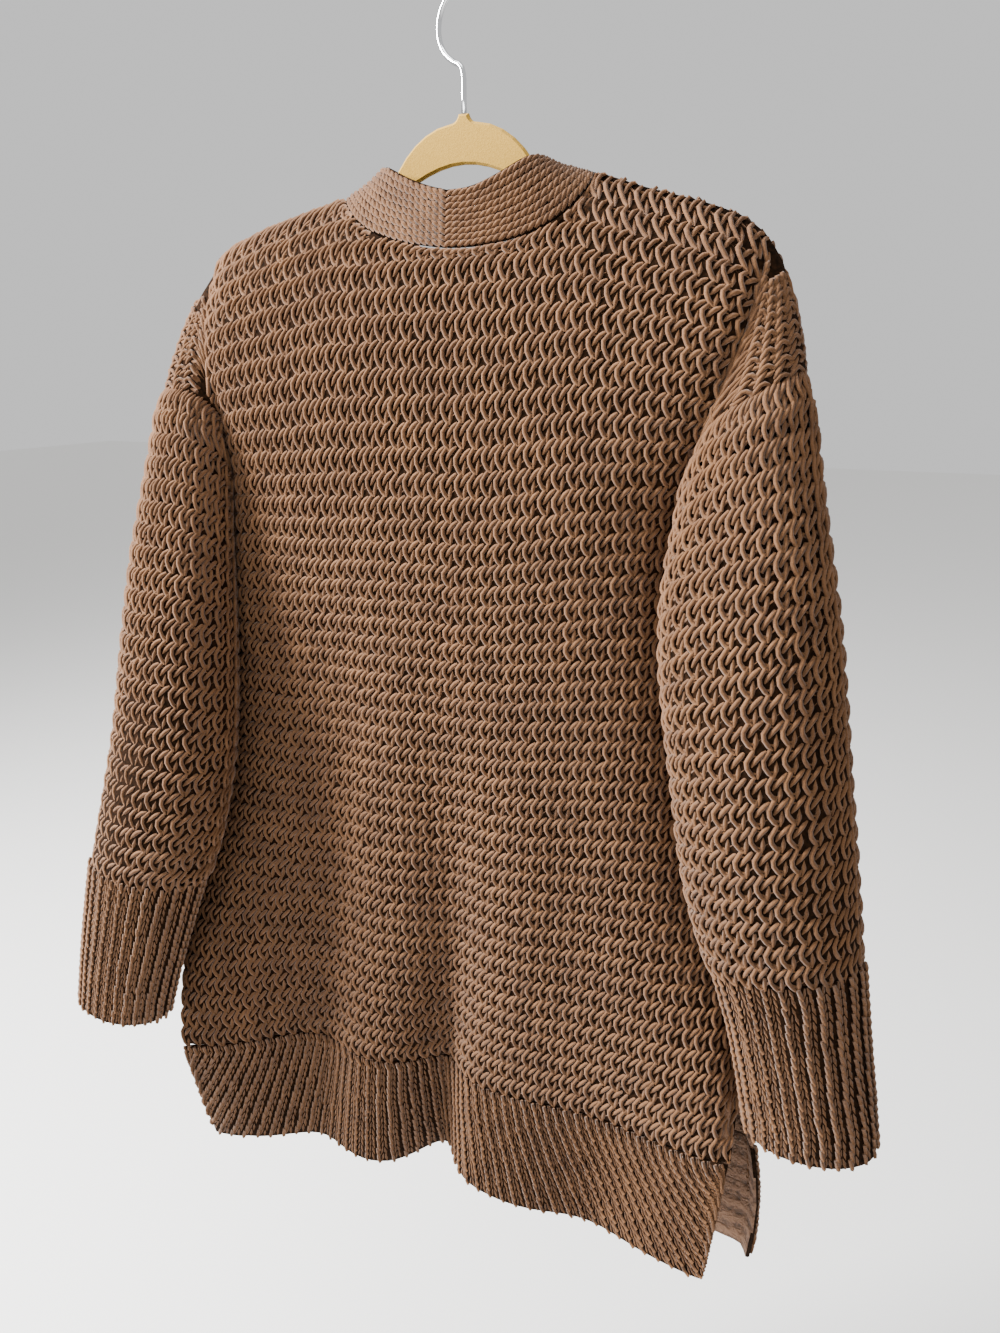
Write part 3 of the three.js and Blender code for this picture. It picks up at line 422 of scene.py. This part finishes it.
# One racked stitch in its cell: across, down, out from the cloth in mm, and share of the yarn.
STITCH = [
    [(0.48, -0.07, -0.8, 0.9), (0.30, 0.10, 0.4, 1.0), (0.05, 0.33, 1.3, 1.05), (0.07, 0.58, 1.2, 1.0),
     (0.26, 0.84, 0.4, 1.0), (0.44, 1.03, -0.8, 0.9)],
    [(1.10, -0.02, -0.6, 0.85), (0.82, 0.14, 0.9, 1.0), (0.55, 0.33, 0.7, 0.95), (0.30, 0.55, -0.8, 0.85)],
    [(0.72, 0.44, -1.0, 0.8), (0.67, 0.76, 0.5, 0.95), (0.56, 1.04, -0.8, 0.85)],
    [(0.00, 0.66, -1.3, 0.85), (0.50, 0.86, -0.6, 0.9), (1.04, 0.62, -1.3, 0.85)],
    [(-0.05, 0.20, -1.2, 0.85), (0.50, 0.16, -0.8, 0.85), (1.00, 0.34, -1.2, 0.85)],
]
WALE, YARN = 10.5, 0.0033
loose_hand = np.random.default_rng(7)


def knit(name, lines, stitch=STITCH, across=WALE, thick=YARN, columns=None, part=(0, 1), sides=4):
    """Raised strands on every cell between neighbouring lines, as one mesh."""
    groups = [[] for _ in stitch]
    for (p0, n0, l0), (p1, n1, l1) in zip(lines, lines[1:]):
        cells = columns or max(2, round((l0 + l1) / 2 * 1000 / across))
        chosen = np.arange(int(cells * part[0]), int(cells * part[1]))
        drift = loose_hand.normal(0, 0.035, (len(chosen), 2))
        fat = loose_hand.uniform(0.92, 1.08, len(chosen)) * thick / 2
        last = len(p0) - 1
        for group, strand in zip(groups, stitch):
            u, v, out, share = np.array(strand).T
            at = np.clip((chosen[:, None] + u + drift[:, :1]) / cells, 0, 1) * last
            i = np.minimum(at.astype(int), last - 1)
            f = (at - i)[..., None]
            w = (v + drift[:, 1:])[..., None]
            top, low = p0[i] * (1 - f) + p0[i + 1] * f, p1[i] * (1 - f) + p1[i + 1] * f
            outward = n0[i] + n1[i]
            outward /= np.linalg.norm(outward, axis=-1, keepdims=True) + 1e-9
            spot = top * (1 - w) + low * w + outward * (out / 1000)[None, :, None]
            tall = np.linalg.norm(low - top, axis=-1).mean(axis=1)
            whole = np.isfinite(spot).all(axis=(1, 2)) & (tall > 0.0035 * thick / YARN * (stitch is STITCH))
            group.append((spot[whole], outward[whole], (share * fat[:, None])[whole]))
    return strand_mesh(name, [tuple(np.concatenate(part) for part in zip(*group)) for group in groups], sides, yarn)


def outer_face(shell, lines):
    """Marks the faces of a panel that look away from the stitches as the wrong side of the knit; the others keep the
    painted shade.
    """
    places = np.concatenate([line[0][::8] for line in lines])
    outward = np.concatenate([line[1][::8] for line in lines])
    places, outward = places[np.isfinite(places[:, 0])], outward[np.isfinite(places[:, 0])]
    for face in shell.data.polygons:
        near = np.argmin(((places - np.array(face.center)) ** 2).sum(axis=1))
        face.material_index = 0 if np.dot(outward[near], np.array(face.normal)) > -0.2 else 1


def clothe(shell, node, lines, stitches):
    """Puts a shell in the place of its solid, with its stitches as part of the same cloth."""
    outer_face(shell, lines)
    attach(shell, "root")
    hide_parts(node)
    for piece in stitches:
        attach(piece, "root")


back, back_tree = panel("back_panel", "back", [
    ((172, 45, -325), (95, 70, -520), (0, -6, 0), 20), ((150, 60, -300), (60, 75, -420), (0, 4, 0), 16),
    ((-160, 45, -320), (-95, 70, -470), (0, -6, 0), 18), ((-140, 55, -285), (-50, 75, -380), (0, 4, 0), 16),
    ((120, 60, -560), (135, 70, -800), (0, 5, 0), 24), ((-70, 60, -520), (-60, 70, -760), (0, 5, 0), 26)])
back_lines, back_columns = body_lines(back_tree, 1, (1, -1), 0)
back_stitches = [knit(f"back_stitches_{word}", back_lines, columns=back_columns, part=part)
                 for word, part in (("left", (0, 0.5)), ("right", (0.5, 1)))]
back_shoulders = [shoulder_lines(back_tree, side, 1) for side in (-1, 1)]
back_stitches += [knit(f"back_shoulder_stitches_{word}", lines)
                  for word, lines in zip(("right", "left"), back_shoulders)]
clothe(back, "back", back_lines + back_shoulders[0] + back_shoulders[1],
       back_stitches)

# ---- Fronts ----
# Two narrower panels of the same stitch, one each side of the open front.
for side, word in ((-1, "right"), (1, "left")):
    front, front_tree = panel(f"front_{word}_panel", f"front_{word}", [
        ((side * 165, -30, -325), (side * 115, -60, -520), (0, 6, 0), 18),
        ((side * 135, -40, -250), (side * 100, -50, -420), (0, -4, 0), 15),
        ((side * 120, -60, -600), (side * 130, -50, -800), (0, -4, 0), 20)])
    lines, columns = body_lines(front_tree, -1, (side,), 64)
    cap = shoulder_lines(front_tree, side, -1)
    stitches = [knit(f"front_{word}_stitches", lines, columns=columns),
                knit(f"front_{word}_shoulder_stitches", cap)]
    clothe(front, f"front_{word}", lines + cap, stitches)

# ---- Sleeves ----
# A tube of the same stitch, knitted down from the dropped shoulder and narrowing to the cuff.


def tube_lines(tree, side, rows, reach=0.06, lap=0.004):
    """The edges between the rows round a sleeve or cuff, from its top to its lower end."""
    angles = np.arange(-270, 91, 5.0)
    ends = []
    for angle in angles:
        seen = [z for z in np.arange(-200, -880, -1.5) if arm_hit(tree, side, angle, z, reach)]
        ends.append((max(seen) - 3, min(seen) + 3))
    ends = np.array(ends)
    lines = []
    for k in range(rows + 1):
        share = k / rows
        hits = []
        for angle, (top, low) in zip(angles, ends):
            z = top + (low - top) * share
            found = arm_hit(tree, side, angle, z, reach)
            if found:
                place = found[0] + Vector((0, 0, lap * (1 - 2 * share)))
                hits.append((place, found[1]))
        lines.append(even_line(hits if side > 0 else hits[::-1], level=True))
    return lines


SLEEVE_CREASES = {
    -1: [((-195, 70, -350), (-222, 88, -455), (0, -5, 0), 14), ((-262, 92, -540), (-215, 84, -575), (0, 5, 0), 15),
         ((-290, 86, -575), (-232, 90, -602), (0, -5, 0), 11), ((-300, 80, -606), (-238, 92, -628), (0, 4, 0), 12),
         ((-262, 10, -520), (-225, 8, -560), (0, 4, 0), 12)],
    1: [((215, 60, -340), (248, 88, -430), (0, -5, 0), 13), ((222, 92, -500), (262, 118, -560), (0, -5, 0), 14),
        ((235, 118, -560), (280, 130, -610), (0, 4, 0), 14), ((268, 60, -450), (270, 70, -520), (-4, 0, 0), 14)],
}
for side, word in ((-1, "right"), (1, "left")):
    sleeve, sleeve_tree = panel(f"sleeve_{word}_tube", f"sleeve_{word}", SLEEVE_CREASES[side])
    lines = tube_lines(sleeve_tree, side, 23, lap=0.007)
    columns = round(np.mean([line[2] for line in lines]) * 1000 / WALE)
    clothe(sleeve, f"sleeve_{word}", lines,
           [knit(f"sleeve_{word}_stitches", lines, columns=columns)])

# ---- Cuffs ----
# Ribbing knitted on to the sleeve: a bold ridge, then a fine one lying back between two of them.
RIB = [
    [(0.20, -0.12, 1.3, 1.1), (0.26, 0.5, 2.0, 1.25), (0.33, 1.12, 1.3, 1.1)],
    [(0.56, -0.12, -0.9, 0.9), (0.49, 0.5, -0.3, 1.0), (0.42, 1.12, -0.9, 0.9)],
    [(0.70, -0.12, -1.0, 0.9), (0.78, 0.5, -0.2, 1.1), (0.86, 1.12, -1.0, 0.9)],
]
for side, word in ((-1, "right"), (1, "left")):
    cuff, cuff_tree = panel(f"cuff_{word}_tube", f"cuff_{word}")
    lines = tube_lines(cuff_tree, side, 21, lap=0.002)
    columns = round(np.mean([line[2] for line in lines]) * 1000 / 10.5)
    clothe(cuff, f"cuff_{word}", lines,
           [knit(f"cuff_{word}_ribs", lines, stitch=RIB, thick=0.0026, columns=columns)])

# ---- Hem ribs ----
# The same ribbing along the lower edge of each panel, open at the side seams.


def apron_lines(tree, face, rows, lap=0.0015):
    """The edges between the rows of a hem rib, following its own upper and lower edge."""
    across = np.arange(-270, 271, 2.0)[::-face]
    ends = []
    for x in across:
        seen = [z for z in np.arange(-822, -960, -1.5)
                if tree.ray_cast(Vector((x, face * 400, z)) / 1000, Vector((0, -face, 0)))[0]]
        ends.append((RIB_TOP - 3, min(seen) + 3) if seen else (np.nan, np.nan))
    lines = []
    for k in range(rows + 1):
        share = k / rows
        hits = []
        for x, (top, low) in zip(across, ends):
            if top != top:
                continue
            z = top + (low - top) * share
            hit = tree.ray_cast(Vector((x, face * 400, z)) / 1000, Vector((0, -face, 0)))
            if hit[0] is not None and hit[1].y * face > -0.1:
                hits.append((hit[0] + Vector((0, 0, lap * (1 - 2 * share))), hit[1]))
        walk_on(tree, hits, -face)
        hits.reverse()
        walk_on(tree, hits, face)
        lines.append(even_line(hits[::-1]))
    return lines


for node, face, flat, area in (("back_hem_rib", 1, (0.52, 0.115), 0.0595),
                               ("front_right_hem_rib", -1, (0.215, 0.115), 0.0247),
                               ("front_left_hem_rib", -1, (0.216, 0.115), 0.0248)):
    hem, hem_tree = panel(f"{node}_shell", node)
    lines = apron_lines(hem_tree, face, 16)
    columns = round(np.mean([line[2] for line in lines]) * 1000 / 10.5)
    clothe(hem, node, lines,
           [knit(f"{node}_ribs", lines, stitch=RIB, thick=0.0026, columns=columns)])

# ---- Neck and front band ----
# A long strip of close ribbing that runs lengthwise, sewn round the neck and down both fronts,
# in two halves that meet at the centre back.
BAND = {
    -1: [
        (-0.1, 30.4, -167.1, -0.1, 27, -130), (-17.8, 30.3, -167.2, -9.7, 26.6, -130.1),
        (-35.5, 29.5, -165.7, -19.4, 25.7, -128.5), (-52.9, 28.1, -162.2, -29.2, 24.1, -124.6),
        (-69.6, 25.6, -156.2, -38.7, 21.5, -119.8), (-83.9, 20.9, -146.9, -47.9, 17.5, -114),
        (-93.2, 12.9, -134.1, -55.9, 11, -109.5), (-96.1, 0, -122.8, -62, 0, -114),
        (-94.6, -13.2, -136.4, -58.4, -17.2, -124.4), (-91.2, -24.3, -162.2, -53.5, -28.3, -150.7),
        (-87, -30.8, -190.7, -47.5, -34.8, -181.1), (-83.7, -34.6, -221, -43.3, -38.6, -214.1),
        (-80.6, -36.4, -251.4, -39.9, -40.4, -247.5), (-78.2, -35.3, -280.8, -37.3, -39.3, -279.4),
        (-76.7, -30, -308, -35.6, -34, -307.8), (-75.4, -32.2, -345, -33.9, -36.2, -345),
        (-74.2, -36.6, -415, -32.3, -40.6, -415), (-74.2, -39.8, -465, -32, -43.8, -465),
        (-76.4, -43.8, -565, -34.3, -47.8, -565), (-76.5, -47.1, -665, -34.4, -51.1, -665),
        (-73.3, -49.7, -770, -31.2, -53.7, -770), (-71.1, -49.9, -888.2, -29, -53.9, -888.2),
        (-70.1, -50, -946.1, -28, -54, -946.1),
    ],
    1: [
        (0.2, 30.4, -167.1, 0.2, 27, -130), (16.2, 29.9, -165.2, 9.7, 26.6, -128),
        (32.3, 28.9, -162.2, 19.4, 25.7, -125.1), (48.1, 27.4, -158.2, 29.2, 24.1, -121.4),
        (63.3, 24.7, -152.4, 38.7, 21.5, -117.1), (76.5, 19.6, -144.3, 47.9, 17.5, -112.4),
        (87.3, 11.6, -135, 55.9, 11, -110.6), (96.2, 0, -128.2, 62, 0, -116),
        (94.5, -13.1, -141.7, 58.2, -17.1, -129.7), (90.3, -24.1, -166.4, 52, -28.1, -155.1),
        (85.3, -30.6, -193.5, 45.9, -34.6, -184), (81.7, -34.5, -222.6, 41.6, -38.5, -215.9),
        (78.6, -36.4, -252.3, 38.1, -40.4, -248.5), (76.2, -36.2, -281.2, 35.4, -40.2, -279.8),
        (74.6, -33.6, -308.1, 33.5, -37.6, -308), (73, -37, -345, 31.5, -41, -345),
        (70.9, -40.4, -415, 28.9, -44.4, -415), (69.8, -42.6, -465, 27.6, -46.6, -465),
        (68.2, -46.1, -565, 26, -50.1, -565), (68.8, -47.9, -665, 26.7, -51.9, -665),
        (71.9, -49.9, -770, 29.8, -53.9, -770), (73.5, -50, -886.7, 31.4, -54, -886.7),
        (74.1, -50, -943.3, 32, -54, -943.3),
    ],
}
ROPE = [[(-0.15, 0.12, -0.1, 0.8), (0.25, 0.32, 0.9, 1.1), (0.75, 0.66, 0.9, 1.1), (1.15, 0.86, -0.1, 0.8)]]
for side, word in ((-1, "right"), (1, "left")):
    band, band_tree = panel(f"band_{word}_strip", f"band_{word}")
    stations = np.array(BAND[side], dtype=float) / 1000
    lines = []
    for k in range(10):
        share = 0.02 + 0.96 * k / 9
        way = stations[:, :3] * (1 - share) + stations[:, 3:] * share
        gone = np.concatenate([[0], np.cumsum(np.linalg.norm(np.diff(way, axis=0), axis=1))])
        hits = []
        for at in np.arange(-0.0002, gone[-1] - 0.0012, 0.004):
            i = min(max(int(np.searchsorted(gone, at, side="right")) - 1, 0), len(gone) - 2)
            f = (at - gone[i]) / (gone[i + 1] - gone[i])
            spot = way[i] * (1 - f) + way[i + 1] * f
            run = way[i + 1] - way[i]
            wide = stations[i, 3:] * (1 - f) + stations[i + 1, 3:] * f - stations[i, :3] * (1 - f) - stations[i + 1, :3] * f
            out = np.cross(run, wide) * -side
            out /= np.linalg.norm(out)
            hit = band_tree.ray_cast(Vector(spot + out * 0.012), Vector(-out), 0.02)
            if hit[0] is not None:
                hits.append((hit[0], Vector(out)))
        join = (hits[0][0] - hits[2][0]).normalized() * 0.004
        lines.append(even_line([(hits[0][0] + join, hits[0][1])] + hits, 400))
    columns = round(np.mean([line[2] for line in lines]) * 1000 / 5.0)
    clothe(band, f"band_{word}", lines,
           [knit(f"band_{word}_ribs", lines, stitch=ROPE, thick=0.0030, columns=columns)])
